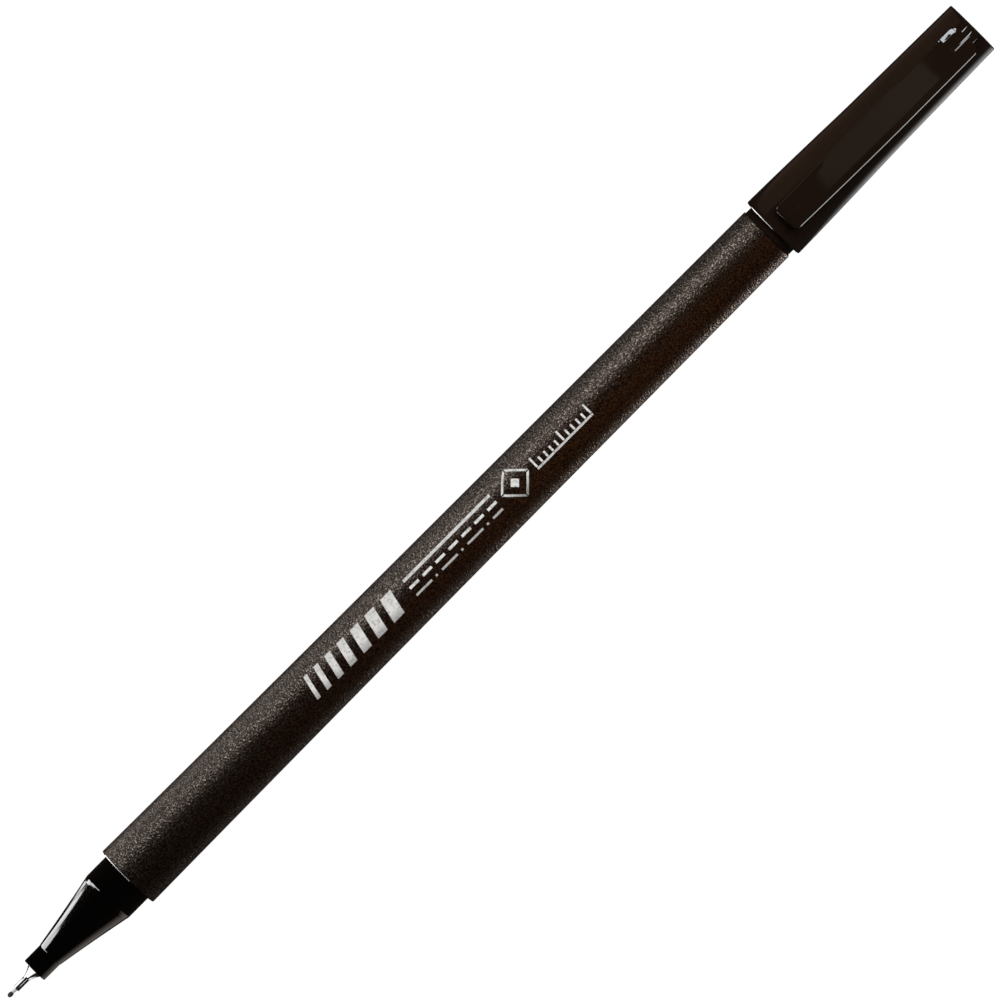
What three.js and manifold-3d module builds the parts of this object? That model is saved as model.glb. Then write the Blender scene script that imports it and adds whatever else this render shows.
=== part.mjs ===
// A technical drawing pen lying on a flat surface, with its cap posted on the tail.
// Millimetres, +Z up. The pen's axis runs along X: the nib is at -X, the cap's crown at +X.
// The origin is on the surface, under the middle of the pen's length.

import * as THREE from "three";
import { mergeVertices } from "three/addons/utils/BufferGeometryUtils.js";
import Module from "manifold-3d";

const wasm = await Module();
wasm.setup();

// ---- Driving dimensions: stations are distances from the tip of the nib ----

const SIDES = 32; // round pieces share one number of sides, so that they nest
const FINE_SIDES = 16; // the nib and the steel tube

const NIB_HEAD_END = 1.04;
const SLEEVE_START = 1.3;
const TUBE_END = 3.0;
const NOSE_START = 4.46;
const CONE_START = 7.14;
const CONE_END = 16.9;
const BARREL_START = 20.2;
const BARREL_END = 128.0;
const CAP_START = 128.93;
const CAP_LENGTH = 33.67;
const LENGTH = CAP_START + CAP_LENGTH;

const NIB_R = 0.3;
const SLEEVE_R = 0.415;
const NOSE_TIP_R = 1.65;
const CONE_R0 = 1.7;
const CONE_HOLLOW = 0.05; // how far the cone's side dips between its ends
const SEAT_R = 3.52;
const BARREL_TAIL_R = 3.725;
const BARREL_BORE_R = 3.0;
const PLUG_R = 3.55;
const CAP_MOUTH_R = 4.3;
const CAP_WAIST_R = 3.91;
const CAP_WAIST = 16; // from the cap's mouth
const CAP_CROWN_R = 3.66;
const FIT = 0.02; // radial clearance of pieces that are pressed together

const PLUG_GRIP = 5.7; // how far the plug reaches into the cap
const LINER_START = 6.0; // from the cap's mouth
const LINER_END = 25.5;
const LINER_R = 3.25;
const LINER_BORE_R = 2.95;

const CLIP_START = 1.85; // from the cap's mouth
const CLIP_WIDTH = 3.7; // at the free end
const CLIP_ROOT_WIDTH = 4.3;
const SHOULDER_START = 4.3; // from the crown
const SHOULDER_END = 1.6; // from the crown
const BRIDGE_WIDTH = 1.9;
const CLIP_GAP = 0.5; // between the clip and the line of the cap's mouth
const CLIP_THICK = 1.05;
const CLIP_TOP_R = CAP_MOUTH_R + CLIP_GAP + CLIP_THICK; // the clip's top, above the pen's axis

// The pen rests on the flat side at the bottom of the cap's mouth.
const AXIS_Z = CAP_MOUTH_R * Math.cos(Math.PI / SIDES);

// ---- Materials ----

function plastic(colour, roughness) {
  return new THREE.MeshStandardMaterial({ color: colour, roughness, metalness: 0 });
}

const satinBlack = () => plastic(0x1c1917, 0.5);
const glossBlack = () => plastic(0x0b0b0c, 0.12);
const polishedSteel = () => new THREE.MeshStandardMaterial({ color: 0xd4d6d8, roughness: 0.15, metalness: 1 });
const nibFibre = () => plastic(0x2a2928, 0.7);
const wickFibre = () => plastic(0xd9d5cc, 0.9);
const inkedFibre = () => plastic(0x1d1d22, 0.95);
const clearFilm = () => plastic(0xc9d0d4, 0.2);
const linerPlastic = () => plastic(0x202022, 0.35);

// ---- Shapes ----

// A round piece on the pen's axis, from [station, radius] points that go from front to back outside.
function turned(name, profile, material, sides = SIDES) {
  const points = profile.map(([station, radius]) => new THREE.Vector2(radius, station));
  const geometry = new THREE.LatheGeometry(points, sides, Math.PI / sides, 2 * Math.PI);
  geometry.rotateZ(-Math.PI / 2);
  const mesh = new THREE.Mesh(geometry, material);
  mesh.name = name;
  return mesh;
}

// Points on a curve y(x), both ends included.
function sampled(from, to, steps, radiusAt) {
  return Array.from({ length: steps + 1 }, (_, i) => {
    const x = from + ((to - from) * i) / steps;
    return [x, radiusAt(x)];
  });
}

// A closed mesh as a solid for cuts and joins.
function solid(geometry) {
  const bare = geometry.index ? geometry.toNonIndexed() : geometry.clone();
  bare.deleteAttribute("normal");
  bare.deleteAttribute("uv");
  const merged = mergeVertices(bare, 1e-4);
  return new wasm.Manifold(
    new wasm.Mesh({
      numProp: 3,
      vertProperties: merged.attributes.position.array,
      triVerts: new Uint32Array(merged.index.array),
    }),
  );
}

function meshOf(name, manifold, material) {
  const { vertProperties, triVerts } = manifold.getMesh();
  const geometry = new THREE.BufferGeometry();
  geometry.setAttribute("position", new THREE.BufferAttribute(vertProperties, 3));
  geometry.setIndex(new THREE.BufferAttribute(triVerts, 1));
  geometry.computeVertexNormals();
  const mesh = new THREE.Mesh(geometry, material);
  mesh.name = name;
  return mesh;
}

// ---- The pen ----

// The fibre nib: a rounded head, a narrow neck behind it, and a rod back to the wick.
function nib() {
  const rod = 0.28;
  const neck = 0.24;
  const back = 9.0;
  const dome = 0.22;
  const head = sampled(0, dome, 3, (x) => NIB_R * Math.sqrt(1 - (1 - x / dome) ** 2));
  const profile = [
    ...head,
    [NIB_HEAD_END, NIB_R],
    [NIB_HEAD_END + 0.04, neck],
    [SLEEVE_START - 0.02, neck],
    [SLEEVE_START + 0.1, rod],
    [back, rod],
    [back, 0],
  ];
  return turned("nib", profile, nibFibre(), FINE_SIDES);
}

// The steel tip: a fine tube that flares in a concave cone, then a shank inside the nose.
function tipSleeve() {
  const bore = 0.33;
  const flare = 1.05;
  const shank = 1.0;
  const shankEnd = 8.6;
  const curve = (x) => SLEEVE_R + (flare - SLEEVE_R) * ((x - TUBE_END) / (NOSE_START - TUBE_END)) ** 1.6;
  const profile = [
    [SLEEVE_START, bore],
    [SLEEVE_START, SLEEVE_R - 0.05],
    [SLEEVE_START + 0.06, SLEEVE_R],
    ...sampled(TUBE_END, NOSE_START, 5, curve),
    [NOSE_START + 0.5, flare],
    [NOSE_START + 0.5, shank],
    [shankEnd, shank],
    [shankEnd, bore],
    [SLEEVE_START, bore],
  ];
  return turned("tip_sleeve", profile, polishedSteel());
}

function coneRadius(station) {
  const along = (station - CONE_START) / (CONE_END - CONE_START);
  return CONE_R0 + (SEAT_R - CONE_R0) * along - 4 * CONE_HOLLOW * along * (1 - along);
}

// The front moulding: end cylinder, grip cone, cap seat and the spigot in the barrel.
function noseSection() {
  const lip = 0.12;
  const mouth = 1.09;
  const dish = 0.5;
  const sleeveBore = 1.02;
  const wickBore = 0.97;
  const spigot = BARREL_BORE_R - FIT;
  const spigotEnd = BARREL_START + 8.5;
  const profile = [
    [NOSE_START + dish, mouth],
    [NOSE_START + 0.05, NOSE_TIP_R - 2 * lip],
    [NOSE_START, NOSE_TIP_R - lip],
    [NOSE_START + lip, NOSE_TIP_R],
    ...sampled(CONE_START, CONE_END, 4, coneRadius),
    [BARREL_START, SEAT_R],
    [BARREL_START, spigot],
    [spigotEnd - 0.4, spigot],
    [spigotEnd, spigot - 0.3],
    [spigotEnd, 2.2],
    [spigotEnd - 3.6, 2.2],
    [spigotEnd - 5.6, wickBore],
    [9.0, wickBore],
    [8.9, sleeveBore],
    [NOSE_START + dish + 0.1, sleeveBore],
    [NOSE_START + dish + 0.1, mouth],
    [NOSE_START + dish, mouth],
  ];
  return turned("nose_section", profile, glossBlack());
}

// The fibre rod that feeds the nib from the reservoir.
function relayWick() {
  const radius = 0.9;
  const profile = [
    [9.1, 0],
    [9.1, radius],
    [BARREL_START + 12, radius],
    [BARREL_START + 13.5, 0.25],
    [BARREL_START + 13.5, 0],
  ];
  return turned("relay_wick", profile, wickFibre(), FINE_SIDES);
}

// Thickest at the front, with most of the taper there and a straight run to the tail.
function barrelRadius(station) {
  const left = (BARREL_END - station) / (BARREL_END - BARREL_START);
  return BARREL_TAIL_R + 0.355 * left + 0.18 * left ** 3.5;
}

function barrel() {
  const edge = 0.06;
  const tailEdge = 0.2;
  const front = BARREL_START + 0.01;
  const profile = [
    [front, BARREL_BORE_R],
    [front, barrelRadius(front) - edge],
    ...sampled(front + edge, BARREL_END - tailEdge, 12, barrelRadius),
    [BARREL_END, BARREL_TAIL_R - tailEdge * 0.7],
    [BARREL_END, BARREL_BORE_R],
    [front, BARREL_BORE_R],
  ];
  return turned("barrel", profile, satinBlack());
}

const RESERVOIR_START = BARREL_START + 9.2;
const RESERVOIR_END = BARREL_END - 9;
const RESERVOIR_R = 2.75;

// The fibre rod that holds the ink, with the hole that the wick is pushed into.
function inkReservoir() {
  const hole = 0.95;
  const holeEnd = BARREL_START + 13.8;
  const profile = [
    [RESERVOIR_START, hole],
    [RESERVOIR_START, RESERVOIR_R - 0.3],
    [RESERVOIR_START + 0.3, RESERVOIR_R],
    [RESERVOIR_END - 0.3, RESERVOIR_R],
    [RESERVOIR_END, RESERVOIR_R - 0.3],
    [RESERVOIR_END, 0],
    [holeEnd, 0],
    [holeEnd, hole],
    [RESERVOIR_START, hole],
  ];
  return turned("ink_reservoir", profile, inkedFibre());
}

function reservoirFilm() {
  const inner = RESERVOIR_R + 0.05;
  const outer = inner + 0.12;
  const start = RESERVOIR_START + 0.4;
  const end = RESERVOIR_END - 0.4;
  const profile = [
    [start, inner],
    [start, outer],
    [end, outer],
    [end, inner],
    [start, inner],
  ];
  return turned("reservoir_film", profile, clearFilm());
}

// Closes the barrel. Its neck shows before the cap, and its end grips the cap's bore.
function tailPlug() {
  const spigot = BARREL_BORE_R - FIT;
  const spigotStart = BARREL_END - 7;
  const neckStart = BARREL_END + 0.01;
  const end = CAP_START + PLUG_GRIP;
  const endR = PLUG_R - 0.1;
  const hollow = 2.2;
  const profile = [
    [spigotStart, hollow],
    [spigotStart, spigot - 0.25],
    [spigotStart + 0.4, spigot],
    [neckStart, spigot],
    [neckStart, PLUG_R],
    [CAP_START + 1, PLUG_R],
    [end - 0.5, endR],
    [end, endR - 0.5],
    [end, 0],
    [end - 1.4, 0],
    [end - 1.4, hollow],
    [spigotStart, hollow],
  ];
  return turned("tail_plug", profile, glossBlack());
}

// ---- The cap: depths are measured from its mouth ----

function capRadius(depth) {
  if (depth < CAP_WAIST) {
    return CAP_MOUTH_R - (CAP_MOUTH_R - CAP_WAIST_R) * (depth / CAP_WAIST) ** 1.3;
  }
  const along = (depth - CAP_WAIST) / (CAP_LENGTH - CAP_WAIST);
  return CAP_WAIST_R + (CAP_CROWN_R - CAP_WAIST_R) * along;
}

function capShell() {
  const lip = 0.24;
  const mouthBore = 3.6;
  const gripBore = 3.5;
  const linerBore = LINER_R + 0.03;
  const endBore = 3.0;
  const endDepth = CAP_LENGTH - 1.3;
  const crownEdge = 0.22;
  const profile = [
    [0, mouthBore + 0.2],
    [0, CAP_MOUTH_R - lip],
    [lip * 0.35, CAP_MOUTH_R - lip * 0.3],
    [lip, CAP_MOUTH_R],
    ...sampled(2, CAP_WAIST, 6, capRadius),
    ...sampled(CAP_LENGTH - 9, CAP_LENGTH - crownEdge, 3, capRadius),
    [CAP_LENGTH, CAP_CROWN_R - crownEdge],
    [CAP_LENGTH, 0],
    [endDepth, 0],
    [endDepth, endBore],
    [LINER_END + 1, linerBore],
    [LINER_START - 0.1, linerBore],
    [LINER_START - 0.1, gripBore],
    [1, mouthBore],
    [0, mouthBore + 0.2],
  ];
  return turned("cap_shell", profile.map(([depth, radius]) => [CAP_START + depth, radius]), glossBlack());
}

// The thimble that seals round the nose cone when the pen is capped.
function capLiner() {
  const wallEnd = 0.5;
  const profile = [
    [LINER_START, LINER_BORE_R + 0.1],
    [LINER_START, LINER_R - 0.05],
    [LINER_START + 0.1, LINER_R],
    [LINER_END - 0.6, LINER_R],
    [LINER_END, LINER_R - 0.6],
    [LINER_END, 0],
    [LINER_END - wallEnd, 0],
    [LINER_END - wallEnd, LINER_BORE_R - 0.6],
    [LINER_END - wallEnd - 0.6, LINER_BORE_R],
    [LINER_START + 0.3, LINER_BORE_R],
    [LINER_START, LINER_BORE_R + 0.1],
  ];
  return turned("cap_liner", profile.map(([depth, radius]) => [CAP_START + depth, radius]), linerPlastic());
}

// The clip seen from above: x is the depth from the cap's mouth, y is across.
function clipOutline() {
  const half = CLIP_WIDTH / 2;
  const rootHalf = CLIP_ROOT_WIDTH / 2;
  const bridgeHalf = BRIDGE_WIDTH / 2;
  const corner = 0.8;
  const shoulder = CAP_LENGTH - SHOULDER_START;
  const neck = CAP_LENGTH - SHOULDER_END;
  const shape = new THREE.Shape();
  shape.moveTo(CLIP_START + corner, -half);
  shape.lineTo(shoulder, -rootHalf);
  shape.quadraticCurveTo(neck, -rootHalf + 0.15, neck, -bridgeHalf);
  shape.lineTo(CAP_LENGTH, -bridgeHalf);
  shape.lineTo(CAP_LENGTH, bridgeHalf);
  shape.lineTo(neck, bridgeHalf);
  shape.quadraticCurveTo(neck, rootHalf - 0.15, shoulder, rootHalf);
  shape.lineTo(CLIP_START + corner, half);
  shape.quadraticCurveTo(CLIP_START, half, CLIP_START, half - corner);
  shape.lineTo(CLIP_START, -half + corner);
  shape.quadraticCurveTo(CLIP_START, -half, CLIP_START + corner, -half);
  return shape;
}

// The clip seen from the side: x is the depth from the cap's mouth, y is the height over the axis.
function clipSide() {
  const top = CLIP_TOP_R;
  const under = top - CLIP_THICK;
  const pad = CAP_MOUTH_R + 0.3; // a bump at the free end holds the pocket's cloth
  const foot = CAP_CROWN_R + 0.3; // clear of the cap's crown
  const crown = CAP_LENGTH;
  const shape = new THREE.Shape();
  shape.moveTo(CLIP_START, top - 0.5);
  shape.lineTo(CLIP_START, pad + 0.25);
  shape.quadraticCurveTo(CLIP_START + 1.4, pad - 0.25, CLIP_START + 3.2, under);
  shape.lineTo(crown - 4.4, under);
  shape.quadraticCurveTo(crown - 2.3, under, crown - 1.9, foot);
  shape.lineTo(crown, foot);
  shape.lineTo(crown, foot + 0.75);
  shape.quadraticCurveTo(crown - 0.2, top, crown - 2.2, top);
  shape.lineTo(CLIP_START + 1.2, top);
  shape.quadraticCurveTo(CLIP_START, top, CLIP_START, top - 0.5);
  return shape;
}

function capClip() {
  const tall = 12;
  const wide = 8;
  const curveSegments = 4;
  const plan = new THREE.ExtrudeGeometry(clipOutline(), { depth: tall, bevelEnabled: false, curveSegments });
  const side = new THREE.ExtrudeGeometry(clipSide(), { depth: wide, bevelEnabled: false, curveSegments });
  side.translate(0, 0, -wide / 2);
  side.rotateX(Math.PI / 2);
  const clip = solid(plan).intersect(solid(side)).translate(CAP_START, 0, 0);
  return meshOf("cap_clip", clip, glossBlack());
}

// ---- Assembly ----

const pen = new THREE.Group();
pen.add(nib(), tipSleeve(), noseSection(), relayWick());
pen.add(barrel(), inkReservoir(), reservoirFilm(), tailPlug());

const cap = new THREE.Group();
cap.add(capShell(), capLiner(), capClip());

const technicalPen = new THREE.Group();
technicalPen.add(pen, cap);
technicalPen.position.set(-LENGTH / 2, 0, AXIS_Z);

export default technicalPen;
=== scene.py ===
"""A technical drawing pen lying on a pale floor, with its cap posted on the tail.

Metres, in the frame's axes: the pen runs along X with the nib at -X, and the clip is on top at +Z.
Profiles are written in millimetres as (station, radius), where a station is the distance from the nib's tip.
"""

import math

import bmesh
import bpy
import numpy as np
from mathutils import Matrix, Vector

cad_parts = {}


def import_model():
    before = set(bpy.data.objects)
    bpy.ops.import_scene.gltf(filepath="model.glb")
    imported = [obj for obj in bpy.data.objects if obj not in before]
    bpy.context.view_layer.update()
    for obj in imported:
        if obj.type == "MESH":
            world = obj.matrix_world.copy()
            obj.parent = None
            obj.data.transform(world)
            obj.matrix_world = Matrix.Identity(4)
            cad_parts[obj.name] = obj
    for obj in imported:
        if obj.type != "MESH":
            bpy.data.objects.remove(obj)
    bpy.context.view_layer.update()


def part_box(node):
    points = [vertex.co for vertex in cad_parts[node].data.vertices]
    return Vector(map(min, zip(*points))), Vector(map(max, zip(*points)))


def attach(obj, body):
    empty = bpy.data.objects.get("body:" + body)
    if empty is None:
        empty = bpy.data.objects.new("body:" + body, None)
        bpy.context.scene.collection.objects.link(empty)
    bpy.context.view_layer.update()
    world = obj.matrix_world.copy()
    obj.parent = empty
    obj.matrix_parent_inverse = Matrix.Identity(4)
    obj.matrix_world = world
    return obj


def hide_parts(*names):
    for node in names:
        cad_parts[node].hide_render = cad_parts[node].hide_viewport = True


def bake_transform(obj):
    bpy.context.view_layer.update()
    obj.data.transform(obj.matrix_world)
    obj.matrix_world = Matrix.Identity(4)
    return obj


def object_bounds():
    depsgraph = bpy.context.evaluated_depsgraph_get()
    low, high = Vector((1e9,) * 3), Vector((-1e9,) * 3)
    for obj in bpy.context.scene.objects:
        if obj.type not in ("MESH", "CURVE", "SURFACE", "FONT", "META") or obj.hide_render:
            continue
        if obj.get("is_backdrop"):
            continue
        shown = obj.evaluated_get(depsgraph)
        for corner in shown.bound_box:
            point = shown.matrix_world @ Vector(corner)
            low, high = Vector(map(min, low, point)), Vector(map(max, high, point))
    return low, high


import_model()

MM = 0.001
CAD_SIDES = 32  # flats round the CAD's nose section, which lie inside its true circle

# ---- Places from the frame ----

BARREL_LO, BARREL_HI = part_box("barrel")
SHELL_LO, SHELL_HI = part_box("cap_shell")
CLIP_LO, CLIP_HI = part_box("cap_clip")
TIP_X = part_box("nib")[0].x
AXIS_Z = (BARREL_LO.z + BARREL_HI.z) / 2


def station(x):
    """The distance from the nib's tip, in millimetres, of a place along X."""
    return (x - TIP_X) / MM


BARREL_START = station(BARREL_LO.x)
BARREL_END = station(BARREL_HI.x)
SEAT_R = (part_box("nose_section")[1].z - AXIS_Z) / MM / math.cos(math.pi / CAD_SIDES)
CAP_START = station(SHELL_LO.x)
CAP_END = station(SHELL_HI.x)
CAP_LENGTH = CAP_END - CAP_START
CLIP_START = station(CLIP_LO.x)
CLIP_TOP = (CLIP_HI.z - AXIS_Z) / MM


# ---- Mesh building ----

SHARP_ANGLE = math.radians(28)
FILLET_STEP = 18  # degrees of turn in one step of a fillet
FILLET_SHARE = 0.49  # the most of a side that one fillet takes up
ON_AXIS = 1e-6  # mm
SAME_PLACE = 1e-8  # m


def bend(start, corner, end, steps):
    """The points of a smooth curve that leaves start towards the corner and comes from it to end."""
    places = [k / steps for k in range(steps + 1)]
    return [start * (1 - t) ** 2 + corner * 2 * t * (1 - t) + end * t ** 2 for t in places]


def filleted(corners):
    """A profile from (station, radius) corners. A third number is the size of that corner's fillet."""
    points = []
    closed = corners[0][:2] == corners[-1][:2]
    last = len(corners) - 1
    for i, corner in enumerate(corners):
        at = Vector(corner[:2])
        size = corner[2] if len(corner) > 2 else 0
        if not size or (i in (0, last) and not closed):
            points.append(tuple(at))
            continue
        if i == last:
            points.append(points[0])
            continue
        before = Vector(corners[i - 1][:2] if i else corners[-2][:2]) - at
        after = Vector(corners[i + 1][:2]) - at
        a, b = before.normalized(), after.normalized()
        half = a.angle(b) / 2
        reach = min(size / math.tan(half), before.length * FILLET_SHARE, after.length * FILLET_SHARE)
        steps = max(2, int(math.degrees(math.pi - 2 * half) / FILLET_STEP) + 1)
        points += [tuple(point) for point in bend(at + a * reach, at, at + b * reach, steps)]
    return points


def lathe(name, profile, sides):
    """A closed solid of revolution on the pen's axis. A profile ends on the axis or closes on itself."""
    closed = profile[0] == profile[-1]
    rows = profile[:-1] if closed else profile
    verts, faces, rings = [], [], []
    for s, r in rows:
        x = TIP_X + s * MM
        if r < ON_AXIS:
            rings.append([len(verts)] * sides)
            verts.append((x, 0, AXIS_Z))
            continue
        rings.append(list(range(len(verts), len(verts) + sides)))
        for k in range(sides):
            turn = 2 * math.pi * k / sides
            verts.append((x, r * MM * math.sin(turn), AXIS_Z + r * MM * math.cos(turn)))
    pairs = list(zip(rings, rings[1:] + rings[:1] if closed else rings[1:]))
    for near, far in pairs:
        for k in range(sides):
            j = (k + 1) % sides
            face = [near[k], near[j], far[j], far[k]]
            face = [v for n, v in enumerate(face) if v not in face[:n]]
            if len(face) > 2:
                faces.append(face)
    return finished(name, verts, faces)


def finished(name, verts, faces):
    """An object from vertices and faces, smooth-shaded except at its sharp edges."""
    mesh = bpy.data.meshes.new(name)
    mesh.from_pydata(verts, [], faces)
    tidy = bmesh.new()
    tidy.from_mesh(mesh)
    bmesh.ops.remove_doubles(tidy, verts=tidy.verts, dist=SAME_PLACE)
    bmesh.ops.recalc_face_normals(tidy, faces=tidy.faces)
    for face in tidy.faces:
        face.smooth = True
    for edge in tidy.edges:
        edge.smooth = edge.calc_face_angle(0) < SHARP_ANGLE
    tidy.to_mesh(mesh)
    tidy.free()
    piece = bpy.data.objects.new(name, mesh)
    bpy.context.scene.collection.objects.link(piece)
    weighted = piece.modifiers.new("even shading", "WEIGHTED_NORMAL")
    weighted.keep_sharp = True
    weighted.weight = 100
    return piece


def place(piece, body, node, material):
    """Gives a finished piece its body, the CAD node that it stands for and its material."""
    piece.data.materials.append(material)
    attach(piece, body)
    if node:
        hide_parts(node)
    return piece


def sampled(start, end, steps, radius_at):
    """Points (station, radius) at even steps along a curve."""
    stations = [start + (end - start) * i / steps for i in range(steps + 1)]
    return [(s, radius_at(s)) for s in stations]


# ---- Materials ----

def shader(name, colour, roughness, metallic=0.0):
    """A Principled material, and a short way to add nodes to it."""
    material = bpy.data.materials.new(name)
    material.use_nodes = True
    nodes, links = material.node_tree.nodes, material.node_tree.links
    nodes.clear()
    out = nodes.new("ShaderNodeOutputMaterial")
    main = nodes.new("ShaderNodeBsdfPrincipled")
    links.new(main.outputs["BSDF"], out.inputs["Surface"])
    main.inputs["Base Color"].default_value = (*colour, 1)
    main.inputs["Roughness"].default_value = roughness
    main.inputs["Metallic"].default_value = metallic
    return material, main, nodes, links


def object_noise(nodes, links, scale, detail, stretch=(1, 1, 1)):
    """Noise in the object's own space, where scale is the number of grains in a metre."""
    where = nodes.new("ShaderNodeTexCoord")
    mapping = nodes.new("ShaderNodeMapping")
    mapping.inputs["Scale"].default_value = stretch
    links.new(where.outputs["Object"], mapping.inputs["Vector"])
    texture = nodes.new("ShaderNodeTexNoise")
    texture.inputs["Scale"].default_value = scale
    texture.inputs["Detail"].default_value = detail
    links.new(mapping.outputs["Vector"], texture.inputs["Vector"])
    return texture.outputs["Fac"]


def ramp(nodes, links, fac, stops, socket):
    """Feeds a socket from fac through a ramp of stops, each a position with a colour or a level."""
    node = nodes.new("ShaderNodeValToRGB")
    while len(node.color_ramp.elements) < len(stops):
        node.color_ramp.elements.new(0.5)
    for element, (position, value) in zip(node.color_ramp.elements, stops):
        element.position = position
        element.color = (*value, 1) if isinstance(value, tuple) else (value, value, value, 1)
    links.new(fac, node.inputs["Fac"])
    links.new(node.outputs["Color"], socket)


def bump(nodes, links, main, height, strength, distance):
    """Roughens a material's surface. The distance is in metres."""
    node = nodes.new("ShaderNodeBump")
    node.inputs["Strength"].default_value = strength
    node.inputs["Distance"].default_value = distance
    links.new(height, node.inputs["Height"])
    links.new(node.outputs["Normal"], main.inputs["Normal"])


def gloss_black(name):
    """Injection-moulded gloss plastic: nearly black, faintly warm, with soft handling marks."""
    material, main, nodes, links = shader(name, (0.006, 0.0033, 0.0021), 0.07)
    haze = object_noise(nodes, links, scale=420, detail=4, stretch=(0.35, 1, 1))
    ramp(nodes, links, haze, [(0.35, 0.02), (0.62, 0.035), (0.8, 0.08)], main.inputs["Roughness"])
    tint = object_noise(nodes, links, scale=90, detail=2)
    tints = [(0.3, (0.005, 0.0026, 0.0016)), (0.7, (0.007, 0.0039, 0.0025))]
    ramp(nodes, links, tint, tints, main.inputs["Base Color"])
    peel = object_noise(nodes, links, scale=900, detail=1)
    bump(nodes, links, main, peel, strength=0.02, distance=0.00002)
    return material


def satin_black():
    """The barrel's fine grain: a soft warm sheen, with tiny bright flecks that sparkle in the light."""
    material, main, nodes, links = shader("satin_black", (0.009, 0.0045, 0.0028), 0.36)
    main.inputs["Specular Tint"].default_value = (1, 0.78, 0.66, 1)
    grain = object_noise(nodes, links, scale=4200, detail=0)
    flecks = object_noise(nodes, links, scale=5200, detail=0, stretch=(1, 1, 1.01))
    colours = [(0.5, (0.0065, 0.0026, 0.0007)), (0.62, (0.17, 0.147, 0.13))]
    ramp(nodes, links, flecks, colours, main.inputs["Base Color"])
    ramp(nodes, links, flecks, [(0.52, 0.0), (0.6, 1.0)], main.inputs["Metallic"])
    ramp(nodes, links, grain, [(0.4, 0.38), (0.62, 0.27)], main.inputs["Roughness"])
    bump(nodes, links, main, grain, strength=0.9, distance=0.00006)
    return material


def polished_steel():
    """Turned and polished stainless steel, with fine rings round the axis."""
    material, main, nodes, links = shader("polished_steel", (0.72, 0.72, 0.73), 0.07, metallic=1.0)
    rings = object_noise(nodes, links, scale=9000, detail=2, stretch=(1, 0.02, 0.02))
    ramp(nodes, links, rings, [(0.3, 0.04), (0.7, 0.1)], main.inputs["Roughness"])
    bump(nodes, links, main, rings, strength=0.15, distance=0.000004)
    return material


def fibre(name, dark, light, roughness):
    """Bonded fibre, with strands along the pen."""
    material, main, nodes, links = shader(name, light, roughness)
    strands = object_noise(nodes, links, scale=9000, detail=3, stretch=(0.06, 1, 1))
    ramp(nodes, links, strands, [(0.3, dark), (0.7, light)], main.inputs["Base Color"])
    bump(nodes, links, main, strands, strength=0.4, distance=0.00003)
    return material


def clear_film():
    """A thin crinkled wrap."""
    material, main, nodes, links = shader("clear_film", (0.75, 0.78, 0.8), 0.15)
    main.inputs["Alpha"].default_value = 0.35
    creases = object_noise(nodes, links, scale=700, detail=3, stretch=(0.3, 1, 1))
    bump(nodes, links, main, creases, strength=0.4, distance=0.00005)
    ramp(nodes, links, creases, [(0.3, 0.1), (0.7, 0.3)], main.inputs["Roughness"])
    return material


def silver_foil():
    """Hot-stamped silver: bright and satiny, slightly mottled where the grain shows through."""
    material, main, nodes, links = shader("silver_foil", (0.74, 0.73, 0.71), 0.42, metallic=0.25)
    mottle = object_noise(nodes, links, scale=3000, detail=3)
    silvers = [(0.3, (0.5, 0.49, 0.47)), (0.5, (0.8, 0.79, 0.77))]
    ramp(nodes, links, mottle, silvers, main.inputs["Base Color"])
    ramp(nodes, links, mottle, [(0.3, 0.5), (0.7, 0.35)], main.inputs["Roughness"])
    bump(nodes, links, main, mottle, strength=0.5, distance=0.00001)
    return material


GLOSS = gloss_black("gloss_black")
LINER = gloss_black("liner_plastic")
SATIN = satin_black()
STEEL = polished_steel()
FOIL = silver_foil()
NIB_FIBRE = fibre("nib_fibre", (0.01, 0.01, 0.012), (0.07, 0.072, 0.08), 0.4)
NECK_FIBRE = fibre("neck_fibre", (0.4, 0.39, 0.37), (0.65, 0.63, 0.6), 0.5)
WICK_FIBRE = fibre("wick_fibre", (0.05, 0.05, 0.055), (0.16, 0.16, 0.17), 0.85)
INKED_FIBRE = fibre("inked_fibre", (0.006, 0.006, 0.008), (0.03, 0.03, 0.036), 0.8)
FILM = clear_film()


# ---- The pen: a START or an END is a station, and an R is a radius ----

HEAD_R, HEAD_MIDDLE, HEAD_END = 0.29, 0.42, 0.72
NECK_START, NECK_END = 0.74, 1.5
NIB_R, NIB_BACK = 0.28, 9.0
TUBE_START, TUBE_END, TUBE_R, TUBE_BORE_R = 1.3, 3.0, 0.415, 0.33
SHANK_START, SHANK_END, SHANK_R = 4.96, 8.6, 1.0
NOSE_START = 4.46
FLARE = 0.635
CONE_START, CONE_END, CONE_R0, CONE_HOLLOW = 7.14, 16.9, 1.71, 0.2
SPIGOT_R, SPIGOT_END = 2.98, 28.7
WICK_START, WICK_END, WICK_R, WICK_TIP_R = 9.1, 33.7, 0.9, 0.25
BARREL_BORE_R, BARREL_TAIL_R, BARREL_TAPER, BARREL_SWELL = 3.0, 3.725, 0.355, 0.18
BARREL_EDGE = 0.18
PLUG_START, PLUG_R, PLUG_HOLLOW_R = 121.0, 2.98, 2.2
RESERVOIR_R, RESERVOIR_HOLE_R, RESERVOIR_HOLE_END = 2.75, 0.95, 34.0
FILM_R, FILM_THICK = 2.8, 0.12


def head_radius(s):
    """The nib's egg-shaped head."""
    return HEAD_R * math.sqrt(max(0, 1 - ((s - HEAD_MIDDLE) / HEAD_MIDDLE) ** 2))


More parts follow.
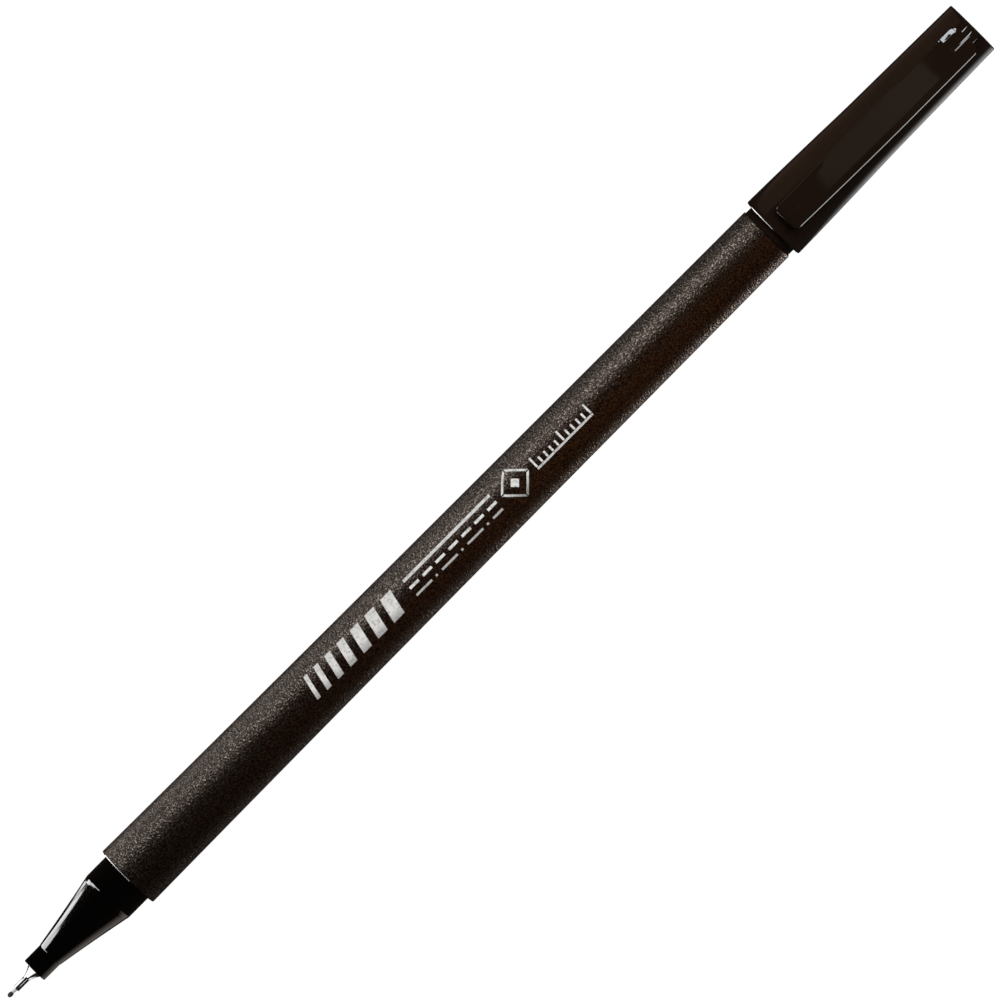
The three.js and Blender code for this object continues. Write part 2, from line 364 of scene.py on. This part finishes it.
def nib():
    """An egg-shaped fibre point, inked at the tip, with a narrow pale neck where it enters the steel."""
    neck = [(0.76, 0.2), (1.2, 0.21), (TUBE_START, 0.24), (1.45, NIB_R)]
    shank = [(NIB_BACK, NIB_R, 0.05), (NIB_BACK, 0)]
    profile = sampled(0, HEAD_END, 14, head_radius) + filleted(neck + shank)
    piece = place(lathe("fibre_nib", profile, 48), "pen", "nib", NIB_FIBRE)
    piece.data.materials.append(NECK_FIBRE)
    for face in piece.data.polygons:
        if NECK_START < station(face.center.x) < NECK_END:
            face.material_index = 1
    return piece


def flare_radius(s):
    """The steel's concave flare, from the tube to the nose."""
    return TUBE_R + FLARE * ((s - TUBE_END) / (NOSE_START - TUBE_END)) ** 1.6


def tip_sleeve():
    """The fine steel tube, flaring in a concave cone to the nose, with a shank held inside it."""
    lip = [(TUBE_START, TUBE_BORE_R), (TUBE_START, 0.36), (1.33, 0.4), (1.38, TUBE_R)]
    shank = [
        (SHANK_START, 1.05), (SHANK_START, SHANK_R), (SHANK_END, SHANK_R),
        (SHANK_END, TUBE_BORE_R), (TUBE_START, TUBE_BORE_R),
    ]
    profile = lip + sampled(TUBE_END, NOSE_START, 14, flare_radius) + shank
    return place(lathe("steel_tip", profile, 64), "pen", "tip_sleeve", STEEL)


def cone_radius(s):
    """The long grip cone, very slightly hollow."""
    along = (s - CONE_START) / (CONE_END - CONE_START)
    return CONE_R0 + (SEAT_R - CONE_R0) * along - CONE_HOLLOW * along * (1 - along)


def nose_section():
    """The gloss front moulding, from its dished mouth to the spigot inside the barrel."""
    mouth = [(5.06, 1.09), (4.56, 1.39, 0.04), (NOSE_START, 1.47, 0.05), (NOSE_START, 1.65, 0.06)]
    cone = [(CONE_START - 0.05, 1.66, 0.01)] + sampled(CONE_START, CONE_END, 16, cone_radius)[:-1]
    spigot = [
        (CONE_END, SEAT_R, 1.2), (BARREL_START, SEAT_R), (BARREL_START, SPIGOT_R),
        (SPIGOT_END - 0.4, SPIGOT_R, 0.1), (SPIGOT_END, 2.68, 0.1), (SPIGOT_END, 2.2, 0.05),
    ]
    bore = [(25.1, 2.2), (23.1, 0.97), (9.0, 0.97), (8.9, 1.02), (5.06, 1.02), (5.06, 1.09)]
    profile = filleted(mouth + cone + spigot + bore)
    return place(lathe("grip_nose", profile, 128), "pen", "nose_section", GLOSS)


def barrel_radius(s):
    """The barrel's taper, steepest at the front."""
    left = (BARREL_END - s) / (BARREL_END - BARREL_START)
    return BARREL_TAIL_R + BARREL_TAPER * left + BARREL_SWELL * left ** 3.5


def barrel():
    """The satin tube, with a glossy rounded edge at its front."""
    front, tail = barrel_radius(BARREL_START), barrel_radius(BARREL_END)
    corners = [(BARREL_START, BARREL_BORE_R), (BARREL_START, front, BARREL_EDGE)]
    corners += sampled(BARREL_START + 0.3, BARREL_END - 0.5, 40, barrel_radius)
    corners += [(BARREL_END, tail, BARREL_EDGE), (BARREL_END, BARREL_BORE_R)]
    corners.append((BARREL_START, BARREL_BORE_R))
    piece = place(lathe("satin_barrel", filleted(corners), 128), "pen", "barrel", SATIN)
    piece.data.materials.append(GLOSS)
    for face in piece.data.polygons:
        if station(face.center.x) < BARREL_START + BARREL_EDGE:
            face.material_index = 1
    return piece


def tail_plug():
    """The plug's neck shows between the barrel and the cap, and its end is seen when the cap is off."""
    neck, end = BARREL_END + 0.01, station(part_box("tail_plug")[1].x)
    outside = filleted([
        (PLUG_START, PLUG_HOLLOW_R), (PLUG_START, 2.73, 0.1), (PLUG_START + 0.4, PLUG_R, 0.1),
        (neck, PLUG_R), (neck, 3.55, 0.08), (BARREL_END + 1.9, 3.55), (end - 0.5, 3.45, 0.3),
        (end, 2.95, 0.3), (end, 0.9, 0.05), (end - 0.2, 0.8, 0.05), (end - 0.2, 0),
    ])
    hollow = [(end - 1.4, 0), (end - 1.4, PLUG_HOLLOW_R), (PLUG_START, PLUG_HOLLOW_R)]
    return place(lathe("end_plug", outside + hollow, 96), "pen", "tail_plug", GLOSS)


def ink_parts():
    """The wick, the reservoir and its wrap, hidden inside the barrel."""
    wick = filleted([
        (WICK_START, 0), (WICK_START, WICK_R, 0.1), (WICK_END - 1.5, WICK_R, 0.4),
        (WICK_END, WICK_TIP_R, 0.1), (WICK_END, 0),
    ])
    place(lathe("feed_wick", wick, 48), "pen", "relay_wick", WICK_FIBRE)
    start, end = station(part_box("ink_reservoir")[0].x), station(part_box("ink_reservoir")[1].x)
    core = filleted([
        (start, RESERVOIR_HOLE_R), (start, 2.45, 0.1), (start + 0.3, RESERVOIR_R, 0.2),
        (end - 0.3, RESERVOIR_R, 0.2), (end, 2.45, 0.1), (end, 0), (RESERVOIR_HOLE_END, 0),
        (RESERVOIR_HOLE_END, RESERVOIR_HOLE_R), (start, RESERVOIR_HOLE_R),
    ])
    place(lathe("fibre_reservoir", core, 64), "pen", "ink_reservoir", INKED_FIBRE)
    start, end, outside = start + 0.4, end - 0.4, FILM_R + FILM_THICK
    film = [(start, FILM_R), (start, outside), (end, outside), (end, FILM_R), (start, FILM_R)]
    place(lathe("reservoir_wrap", film, 64), "pen", "reservoir_film", FILM)


# ---- The cap: depths are measured from its mouth ----

WAIST, MOUTH_R, WAIST_R, CROWN_R = 16, 4.3, 3.91, 3.66
MOUTH_BORE_R, CAP_BORE_R, CROWN_THICK = 3.72, 3.28, 1.3
LINER_START, LINER_END, LINER_R, LINER_BORE_R, LINER_WALL = 6.0, 25.5, 3.25, 2.95, 0.5


def cap_radius(depth):
    """The cap narrows in a curve from its mouth to its waist, and then straight to its crown."""
    if depth < WAIST:
        return MOUTH_R - (MOUTH_R - WAIST_R) * (depth / WAIST) ** 1.3
    return WAIST_R + (CROWN_R - WAIST_R) * (depth - WAIST) / (CAP_LENGTH - WAIST)


def in_cap(corners):
    """A closed profile with its fillets, moved from depths in the cap to stations."""
    profile = [(CAP_START + depth, r) for depth, r in filleted(corners)]
    profile[-1] = profile[0]
    return profile


def cap_shell():
    """The cap without its clip: a closed crown, and a bore that widens at the mouth to take the plug."""
    mouth = [(0, MOUTH_BORE_R, 0.08), (0, MOUTH_R, 0.34)]
    outside = sampled(0.5, WAIST - 1, 16, cap_radius)
    outside += sampled(WAIST + 1, CAP_LENGTH - 0.6, 10, cap_radius)
    crown = [(CAP_LENGTH, CROWN_R, 0.16), (CAP_LENGTH, 0), (CAP_LENGTH - CROWN_THICK, 0)]
    bore = [
        (CAP_LENGTH - CROWN_THICK, 3.0, 0.2), (26.5, CAP_BORE_R), (5.9, CAP_BORE_R),
        (5.9, 3.5, 0.05), (1, 3.6, 0.3), (0, MOUTH_BORE_R, 0.08),
    ]
    profile = in_cap(mouth + outside + crown + bore)
    return place(lathe("cap_body", profile, 128), "cap", "cap_shell", GLOSS)


def cap_liner():
    """The thimble inside the cap that seals round the nose."""
    back = LINER_END - LINER_WALL
    profile = in_cap([
        (LINER_START, 3.05, 0.05), (LINER_START, LINER_R, 0.06), (LINER_END - 0.6, LINER_R, 0.2),
        (LINER_END, 2.65, 0.2), (LINER_END, 0), (back, 0), (back, 2.35, 0.2),
        (back - 0.6, LINER_BORE_R, 0.2), (LINER_START + 0.3, LINER_BORE_R), (LINER_START, 3.05, 0.05),
    ])
    place(lathe("seal_liner", profile, 64), "cap_seal", "cap_liner", LINER)


# ---- The clip: along is measured from its free end, and left is what remains to the crown ----

CLIP_DEPTH = CLIP_START - CAP_START
CLIP_LENGTH = CAP_LENGTH - CLIP_DEPTH
CORNER, SHOULDER, NECK = 0.75, 2.15, 1.18
FREE_HALF, SPREAD, SPREAD_LENGTH = 1.83, 0.295, 20
SHOULDER_DEPTH, BRIDGE_HALF = 1.05, 0.965
ARCH, TIP_FALL, TIP_FALL_LENGTH = 0.10, 0.4, 0.9
ROOT_RISE, ROOT_LENGTH, ROOT_PAST = 0.75, 2.6, 0.25
CLIP_THICK, GRIP_BUMP, GRIP_LENGTH = 1.05, 0.42, 3.4
FOOT_START, FOOT_LENGTH, FOOT_SINK = 3.7, 2.0, 0.12
EDGE_WIDE, EDGE_DEEP = 0.13, 0.06
FACET_START, FACET_END, FACET_WIDE, FACET_DEEP, FACET_DEEPENS = 3.75, 1.6, 0.45, 0.22, 0.1
RIDGE_SIDE, RIDGE_FOOT = 0.05, 0.13
END_ROUND, ROUND_SHARE, ROUND_STEPS = 0.06, 0.45, 3


def quarter(t):
    """A quarter circle: 0 at t = 0 and 1 at t = 1, starting steeply."""
    return math.sqrt(max(0.0, 1 - (1 - min(max(t, 0), 1)) ** 2))


def eased(t):
    """A smooth step: 0 up to t = 0 and 1 from t = 1."""
    t = min(max(t, 0), 1)
    return t * t * (3 - 2 * t)


def clip_half_width(along, left):
    """Half the clip's width from above, with round corners and with round shoulders down to the bridge."""
    if left < NECK:
        return BRIDGE_HALF
    half = FREE_HALF + SPREAD * math.sin(min(1, along / SPREAD_LENGTH) * math.pi / 2)
    half -= CORNER * (1 - quarter(along / CORNER))
    return half - SHOULDER_DEPTH * (1 - quarter((left - NECK) / (SHOULDER - NECK)))


def clip_top(along, left):
    """The height of the clip's top over the pen's axis: nearly straight, and rounding down at both ends."""
    arch = ARCH * (2 * along / CLIP_LENGTH - 1) ** 2
    fall = TIP_FALL * (1 - quarter(along / TIP_FALL_LENGTH))
    drop = CLIP_TOP - CROWN_R - ROOT_RISE
    return CLIP_TOP - arch - fall - drop * (1 - quarter((left + ROOT_PAST) / ROOT_LENGTH))


def clip_under(along, left):
    """The height of the clip's underside: a gripping bump at the free end, and a foot at the root."""
    under = CLIP_TOP - CLIP_THICK
    under -= GRIP_BUMP * math.sin(min(1, 0.25 + along / GRIP_LENGTH * 0.75) * math.pi) ** 1.5
    return under + (CROWN_R - FOOT_SINK - under) * eased((FOOT_START - left) / FOOT_LENGTH)


def clip_facet(left, far_side):
    """How wide and deep the flat along the clip's top edge is: it opens out at the far side's shoulder."""
    if not far_side:
        return EDGE_WIDE, EDGE_DEEP
    opened = eased((FACET_START + 0.18 - left) / 0.36) * eased((left - FACET_END + 0.2) / 0.3)
    deepened = FACET_DEEP + FACET_DEEPENS * (FACET_START - left)
    return EDGE_WIDE + FACET_WIDE * opened, EDGE_DEEP + opened * deepened


def clip_ridge(along, left):
    """The height of the fine moulded line on the clip's middle, at the free end and on the bridge."""
    at_free_end = 0.05 * eased((along - 0.2) / 0.3) * eased((1.5 - along) / 0.3)
    return at_free_end + 0.07 * eased((3.6 - left) / 0.3)


def rounded(corners):
    """An open outline with its corners (y, z, radius) rounded, always in the same number of points."""
    points = [Vector(corners[0][:2])]
    for before, corner, after in zip(corners, corners[1:], corners[2:]):
        at, near, far = Vector(corner[:2]), Vector(before[:2]), Vector(after[:2])
        reach = min(corner[2], (near - at).length * ROUND_SHARE, (far - at).length * ROUND_SHARE)
        start = at.lerp(near, reach / (near - at).length)
        end = at.lerp(far, reach / (far - at).length)
        points += bend(start, at, end, ROUND_STEPS)
    return points + [Vector(corners[-1][:2])]


def clip_ring(depth, inset):
    """The clip's cross-section at a depth in the cap, drawn in by an inset for its rounded end."""
    along, left = depth - CLIP_DEPTH, CAP_LENGTH - depth
    half = clip_half_width(along, left) - inset
    top, under = clip_top(along, left) - inset, clip_under(along, left) + inset
    ridge, crown, draft = clip_ridge(along, left), 0.04, 0.04

    def half_section(far_side):
        """One side of the section, from beside the ridge, down the wall and in along the underside."""
        wide, deep = clip_facet(left, far_side)
        flat = half - min(wide, half * 0.5)
        wall = top - crown - min(deep, (top - under) * 0.45)
        return [Vector((RIDGE_SIDE, top + ridge * 0.8))] + rounded([
            (RIDGE_FOOT, top, 0), (flat * 0.5, top - crown * 0.25, 0.3), (flat, top - crown, 0.035),
            (half, wall, 0.05), (half + draft, (wall + under) / 2, 0.1), (half, under, 0.12),
            (half * 0.45, under, 0),
        ])

    near = [Vector((-y, z)) for y, z in reversed(half_section(False))]
    return [Vector((0, top + ridge))] + half_section(True) + [Vector((0, under))] + near


def clip_places():
    """The depth and inset of each ring, closer together where the clip's outline turns."""
    turns = [math.pi / 2 * k / 4 for k in range(5)]
    ends = [(END_ROUND * (1 - math.sin(a)), END_ROUND * (1 - math.cos(a))) for a in turns]
    corner_steps, shoulder_steps = 12, 16
    corner = [1 - math.cos(math.pi / 2 * k / corner_steps) for k in range(1, corner_steps + 1)]
    depths = [CLIP_DEPTH + END_ROUND + (CORNER - END_ROUND) * share for share in corner]
    shoulder = [1 - math.sin(math.pi / 2 * k / shoulder_steps) for k in range(1, shoulder_steps + 1)]
    # Coarse along the plate, and fine where the flat and the shoulder change the outline.
    lefts = list(np.linspace(CLIP_LENGTH - 1.1, 4.2, 34)) + list(np.linspace(4.1, 3.4, 12))
    lefts += list(np.linspace(3.3, SHOULDER, 8))
    lefts += [NECK + (SHOULDER - NECK) * share for share in shoulder]
    lefts += list(np.linspace(NECK - 0.02, 0.1, 12))
    depths += [CAP_LENGTH - left for left in lefts]
    places = [(CLIP_DEPTH + back, inset) for back, inset in reversed(ends)]
    places += [(depth, 0) for depth in depths]
    return places + [(CAP_LENGTH - back, inset) for back, inset in ends[1:]]


def cap_clip():
    """The clip as rings of points round its cross-section, from the free end to the cap's crown."""
    verts, rings = [], []
    for depth, inset in clip_places():
        ring = clip_ring(depth, inset)
        rings.append(list(range(len(verts), len(verts) + len(ring))))
        x = TIP_X + (CAP_START + depth) * MM
        verts += [(x, y * MM, AXIS_Z + z * MM) for y, z in ring]
    faces = []
    for near, far in zip(rings, rings[1:]):
        for k in range(len(near)):
            j = (k + 1) % len(near)
            faces.append([near[k], near[j], far[j], far[k]])
    faces += [rings[0], rings[-1][::-1]]
    piece = finished("pocket_clip", verts, faces)
    piece.data.materials.append(GLOSS)
    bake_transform(piece)
    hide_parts("cap_clip")
    return piece


# ---- The stamped mark: bars, drawing lines, a diamond and a scale, which spell nothing ----

MARK_TURN = math.radians(9.8)
FOIL_LIFT, FOIL_ROOT = 0.02, -0.03
FOIL_LENGTH_STEP, FOIL_WIDTH_STEP = 0.8, 0.3
BARS_START, BAR_HALF, BAR_SLANT, BAR_GAP = 51.3, 1.6, 0.7, 1.1
LINES_START, LINES_END = 68.4, 82.9
FULL_ROW, DASH_ROW, DOT_ROW = (0.95, 1.35), (-0.2, 0.15), (-1.3, -1.02)
DASH_PITCH, DOT_PITCH = 2.18, 4.3
DIAMOND_MIDDLE, DIAMOND_R, DIAMOND_LINE, DIAMOND_GAP, DIAMOND_CORE = 86.1, 2.35, 0.4, 0.08, 0.7
SCALE_START, SCALE_PITCH, TICK_WIDTH = 89.2, 0.9, 0.26


def on_barrel(s, v, lift):
    """A point on the barrel at a station, v mm round from the mark's middle."""
    r = barrel_radius(s)
    turn = v / r + MARK_TURN
    return TIP_X + s * MM, (r + lift) * MM * math.sin(turn), AXIS_Z + (r + lift) * MM * math.cos(turn)


def foil_mark(name, shapes):
    """Thin foil on the barrel. A shape is its four corners, as (station, v) in order round it."""
    verts, faces = [], []
    for corners in shapes:
        a, b, c, d = (Vector(corner) for corner in corners)
        along = max(1, math.ceil(max((b - a).length, (c - d).length) / FOIL_LENGTH_STEP))
        across = max(1, math.ceil(max((d - a).length, (c - b).length) / FOIL_WIDTH_STEP))
        sheets = []
        for lift in (FOIL_LIFT, FOIL_ROOT):
            sheets.append(len(verts))
            for i in range(along + 1):
                low, high = a.lerp(b, i / along), d.lerp(c, i / along)
                verts += [on_barrel(*low.lerp(high, j / across), lift) for j in range(across + 1)]
        step = across + 1
        for start in sheets:
            for i in range(along):
                for j in range(across):
                    k = start + i * step + j
                    faces.append([k, k + 1, k + step + 1, k + step])
        rim = [i * step for i in range(along + 1)] + [along * step + j for j in range(1, step)]
        rim += [i * step + across for i in range(along - 1, -1, -1)] + list(range(across - 1, 0, -1))
        for i, j in zip(rim, rim[1:] + rim[:1]):
            faces.append([sheets[0] + i, sheets[0] + j, sheets[1] + j, sheets[1] + i])
    return place(finished(name, verts, faces), "pen", None, FOIL)


def block(start, end, low, high, slant=0.0):
    """A bar's four corners. Slant moves its upper side towards the tail."""
    return [(start, low), (end, low), (end + slant, high), (start + slant, high)]


def bars():
    """Slanted bars, each wider than the last."""
    shapes, at = [], BARS_START
    for k in range(7):
        width = 0.55 + 0.2 * k
        shapes.append(block(at, at + width, -BAR_HALF, BAR_HALF, BAR_SLANT))
        at += width + BAR_GAP
    return shapes


def drawing_lines():
    """A full line over a dashed line over a dash-and-dot line, as on a drawing."""
    dashes = [LINES_START + DASH_PITCH * k for k in range(7)]
    long_dashes = [LINES_START + DOT_PITCH * k for k in range(3)]
    shapes = [block(LINES_START, LINES_END, *FULL_ROW)]
    shapes += [block(at, at + 1.5, *DASH_ROW) for at in dashes]
    shapes += [block(at, at + 2.6, *DOT_ROW) for at in long_dashes]
    shapes += [block(at + 3.25, at + 3.55, *DOT_ROW) for at in long_dashes]
    return shapes + [block(LINES_END - 1.6, LINES_END, *DOT_ROW)]


def diamond():
    """Four thin sides that don't meet at the corners, round a small solid diamond."""
    middle, outer, gap = DIAMOND_MIDDLE, DIAMOND_R, DIAMOND_GAP
    inner, core = outer - DIAMOND_LINE, DIAMOND_CORE
    shapes = []
    for sx, sy in ((1, 1), (1, -1), (-1, 1), (-1, -1)):
        shapes.append([
            (middle + sx * (outer - gap), sy * gap), (middle + sx * gap, sy * (outer - gap)),
            (middle + sx * gap, sy * (inner - gap)), (middle + sx * (inner - gap), sy * gap),
        ])
    return shapes + [[(middle - core, 0), (middle, -core), (middle + core, 0), (middle, core)]]


def ruler():
    """A ruler's edge with ticks, every fifth one longer, and no numbers."""
    shapes = []
    for k in range(11):
        at, high = SCALE_START + SCALE_PITCH * k, 0.9 if k % 5 == 0 else 0.25
        shapes.append(block(at, at + TICK_WIDTH, -0.55, high))
    return shapes + [block(SCALE_START, SCALE_START + SCALE_PITCH * 10 + TICK_WIDTH, -0.9, -0.62)]


def stamped_mark():
    """The mark's four parts, in silver foil."""
    return [
        foil_mark("mark_bars", bars()),
        foil_mark("mark_lines", drawing_lines()),
        foil_mark("mark_diamond", diamond()),
        foil_mark("mark_scale", ruler()),
    ]


# ---- Stage ----

CAMERA_DISTANCE = 3.0
VIEW_WIDTH = 0.11873
LEAN_X, LEAN_Y = math.radians(2.8), math.radians(4.1)
ROLL = math.radians(45.29)
AIM = Vector((TIP_X + 83.22 * MM, 0.2 * MM, AXIS_Z))
FLOOR_HALF = 4.0
FLOOR_DROP = 0.02 * MM
WHITE = (1, 1, 1)


def camera():
    """Looks down from nearly overhead, rolled so that the pen runs up to the right."""
    back = Vector((math.sin(LEAN_X), math.sin(LEAN_Y), 1)).normalized()
    right = Vector((math.cos(ROLL), -math.sin(ROLL), 0))
    right = (right - back * right.dot(back)).normalized()
    up = back.cross(right)
    data = bpy.data.cameras.new("camera")
    data.lens = data.sensor_width * CAMERA_DISTANCE / VIEW_WIDTH
    data.clip_start, data.clip_end = 0.01, 20
    made = bpy.data.objects.new("camera", data)
    bpy.context.scene.collection.objects.link(made)
    turn = Matrix((right, up, back)).transposed().to_4x4()
    made.matrix_world = Matrix.Translation(AIM + back * CAMERA_DISTANCE) @ turn
    bpy.context.scene.camera = made


def floor():
    """A pale floor just under the pen, which glows so that it stays even."""
    level = min(0.0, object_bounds()[0].z) - FLOOR_DROP
    corners = [(x * FLOOR_HALF, y * FLOOR_HALF, level) for x, y in ((-1, -1), (1, -1), (1, 1), (-1, 1))]
    mesh = bpy.data.meshes.new("floor")
    mesh.from_pydata(corners, [], [(0, 1, 2, 3)])
    made = bpy.data.objects.new("floor", mesh)
    bpy.context.scene.collection.objects.link(made)
    material, main, _, _ = shader("floor", (0.9, 0.9, 0.9), 0.9)
    main.inputs["Emission Color"].default_value = (*WHITE, 1)
    main.inputs["Emission Strength"].default_value = 1.0
    mesh.materials.append(material)
    made.visible_glossy = False
    made.visible_shadow = False
    made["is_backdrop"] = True


def world():
    """White to the camera, and dim to everything else."""
    made = bpy.data.worlds.new("world")
    bpy.context.scene.world = made
    made.use_nodes = True
    nodes, links = made.node_tree.nodes, made.node_tree.links
    nodes.clear()
    out = nodes.new("ShaderNodeOutputWorld")
    dim = nodes.new("ShaderNodeBackground")
    pale = nodes.new("ShaderNodeBackground")
    mix = nodes.new("ShaderNodeMixShader")
    path = nodes.new("ShaderNodeLightPath")
    dim.inputs["Color"].default_value = (0.02, 0.018, 0.016, 1)
    pale.inputs["Color"].default_value = (*WHITE, 1)
    links.new(path.outputs["Is Camera Ray"], mix.inputs["Fac"])
    links.new(dim.outputs["Background"], mix.inputs[1])
    links.new(pale.outputs["Background"], mix.inputs[2])
    links.new(mix.outputs["Shader"], out.inputs["Surface"])


# ---- Lights: each is kept to some of the pieces, as flags and screens do in a studio ----
# A light's numbers are its place, its width and height, and its radiance.

FAR, NEAR = 0.5, -0.5
BEYOND_NIB = -0.45
EVEN = ((0, 1), (1, 1))


def softbox(name, at, facing, size, radiance, pieces, colour=WHITE, tilt=0.0, across=None, along=None):
    """A rectangular light of a given brightness, turned by tilt degrees round the way that it faces.

    Across and along grade it over its width and its height, as (place from 0 to 1, brightness) pairs.
    """
    data = bpy.data.lights.new(name, "AREA")
    data.shape = "RECTANGLE"
    data.size, data.size_y = size
    data.energy = radiance * size[0] * size[1] * math.pi
    data.color = colour
    made = bpy.data.objects.new(name, data)
    bpy.context.scene.collection.objects.link(made)
    turn = (Vector(facing) - Vector(at)).to_track_quat("-Z", "Y").to_matrix().to_4x4()
    made.matrix_world = Matrix.Translation(at) @ turn @ Matrix.Rotation(math.radians(tilt), 4, "Z")
    made.visible_camera = False
    if across or along:
        graded(data, across or EVEN, along or EVEN)
    lit = bpy.data.collections.new(name + "_lit")
    for piece in pieces:
        lit.objects.link(piece)
    made.light_linking.receiver_collection = lit
    return made


def graded(light, across, along):
    """Softens a light's edges: its brightness is the product of a ramp over each of its sides."""
    light.use_nodes = True
    nodes, links = light.node_tree.nodes, light.node_tree.links
    geometry = nodes.new("ShaderNodeNewGeometry")
    sides = nodes.new("ShaderNodeSeparateXYZ")
    product = nodes.new("ShaderNodeMath")
    product.operation = "MULTIPLY"
    links.new(geometry.outputs["Parametric"], sides.inputs["Vector"])
    for k, stops in enumerate((across, along)):
        ramp(nodes, links, sides.outputs[k], stops, product.inputs[k])
    links.new(product.outputs["Value"], nodes["Emission"].inputs["Strength"])


def wash(*details, **more):
    """A softbox that never shows in reflections."""
    softbox(*details, **more).visible_glossy = False


def glint(*details, **more):
    """A softbox that only shows in reflections."""
    softbox(*details, **more).visible_diffuse = False


def side_glint(name, at, *details, **more):
    """A glint that faces squarely across the pen."""
    glint(name, at, (at[0], 0, at[2]), *details, **more)


def end_glint(name, at, *details, **more):
    """A glint from beyond the nib, that faces squarely along the pen."""
    glint(name, at, (0, at[1], at[2]), *details, **more)


def nose_lights(point, tube, nose):
    """Bright strips on the far side, a soft card on the near side, and white cards round the steel."""
    side_glint("key_strip", (-0.2485, FAR, 0.24), (0.06, 0.526), 12.0, [nose], tilt=-8.8)
    side_glint("key_middle", (-0.217, FAR, -0.2), (0.035, 0.355), 10.0, [nose], tilt=-1.5)
    side_glint("key_foot", (-0.2505, FAR, -0.625), (0.02, 0.49), 5.0, [nose], tilt=3.5)
    side_glint(
        "near_card", (-0.435, -1.5, -0.7), (0.33, 2.2), 0.9, [nose], (1, 0.88, 0.8),
        across=((0, 0.2), (0.3, 1), (0.85, 1), (1, 0.3)),
        along=((0, 0.6), (0.6, 1), (0.85, 0.6), (1, 0.2)),
    )
    end_glint("ring_card", (BEYOND_NIB, 0.3, -0.2), (0.4, 0.5), 10.0, [nose])
    end_glint("flare_card", (BEYOND_NIB, 0.1, 0), (0.5, 1.2), 1.5, [tube])
    side_glint("flare_far", (-0.388, FAR, 0), (0.456, 0.9), 1.5, [tube])
    end_glint("flare_near", (BEYOND_NIB, -0.8, -0.2), (0.6, 0.8), 1.3, [tube])
    glint("tube_strip", (-0.1, -0.28, 0.5), (-0.08, 0, 0), (0.3, 0.08), 1.8, [point, tube])
    wash("neck_light", (-0.1, 0.3, 0.45), (-0.08, 0, 0), (0.3, 0.2), 18.0, [point])


def barrel_lights(tube, marks):
    """Panels on the far side, a warm fill and a rim from the near side, and a card for the front edge."""
    both = [tube] + marks
    softbox("barrel_front", (-0.11, FAR, -0.2), (-0.11, 0, -0.2), (0.1, 0.42), 2.0, both)
    softbox("barrel_tail", (0.02, FAR, 0.36), (0.02, 0, 0.36), (0.1, 0.56), 4.8, both)
    side_glint("barrel_rim", (0.13, NEAR, -0.45), (0.12, 0.5), 6.0, [tube])
    end_glint("barrel_edge", (BEYOND_NIB, 0.25, -0.25), (0.6, 0.8), 20.0, [tube])
    wash("barrel_fill", (0.024, -0.03, 0.065), (0.024, 0, 0), (0.075, 0.04), 4.3, [tube], (1, 0.42, 0.1))
    softbox("mark_light", (0.0, 0.1, 0.5), (0, 0, 0), (0.4, 0.4), 2.6, marks)


def cap_lights(body, clip, plug):
    """Dim cards for the cap's gloss, and small bright ones for its rims and the clip's edges."""
    both = [body, clip]
    side_glint("far_card", (0.075, FAR, -0.15), (0.07, 1.1), 0.16, both, (1, 0.6, 0.42))
    side_glint(
        "near_tail", (0.155, NEAR, -0.48), (0.23, 1.0), 1.15, [body], tilt=-2.7,
        across=((0, 0.1), (0.1, 1)),
        along=((0.6, 1), (0.85, 0.1), (1, 0)),
    )
    side_glint("near_fill", (0.1, NEAR, 0.05), (0.3, 0.9), 0.05, [body], (1, 0.62, 0.45))
    end_glint("mouth_card", (BEYOND_NIB, 0.3, -0.2), (0.6, 0.8), 20.0, [body])
    glint("corner_card", (-0.28, 0.33, 0.02), (0.05, 0, 0), (0.2, 0.2), 12.0, [clip])
    side_glint("shoulder_strip", (0.39, FAR, 0.3), (0.62, 0.6), 13.0, [clip], (0.9, 0.95, 1))
    side_glint("outline_card", (0.012, FAR, 0.37), (0.09, 0.24), 0.8, [clip], (1, 0.75, 0.65))
    side_glint("edge_strip", (0.1575, NEAR, 0.2), (0.385, 0.6), 9.0, [clip])
    top = (0.0485, -0.036, 0.6)
    glint("clip_card", top, (top[0], top[1], 0), (0.039, 0.078), 0.2, [clip], (1, 0.9, 0.7))
    wash("tail_fill", (0.13, 0.05, 0.16), (0.05, 0, 0), (0.15, 0.15), 10.0, both + [plug], (1, 0.97, 0.95))


# ---- The scene ----

fibre_point, steel_tube, nose_moulding = nib(), tip_sleeve(), nose_section()
main_barrel, plug = barrel(), tail_plug()
ink_parts()
cap_body = cap_shell()
cap_liner()
pocket_clip = cap_clip()
foil = stamped_mark()
camera()
world()
nose_lights(fibre_point, steel_tube, nose_moulding)
barrel_lights(main_barrel, foil)
cap_lights(cap_body, pocket_clip, plug)
floor()
bpy.context.scene.view_settings.view_transform = "Standard"
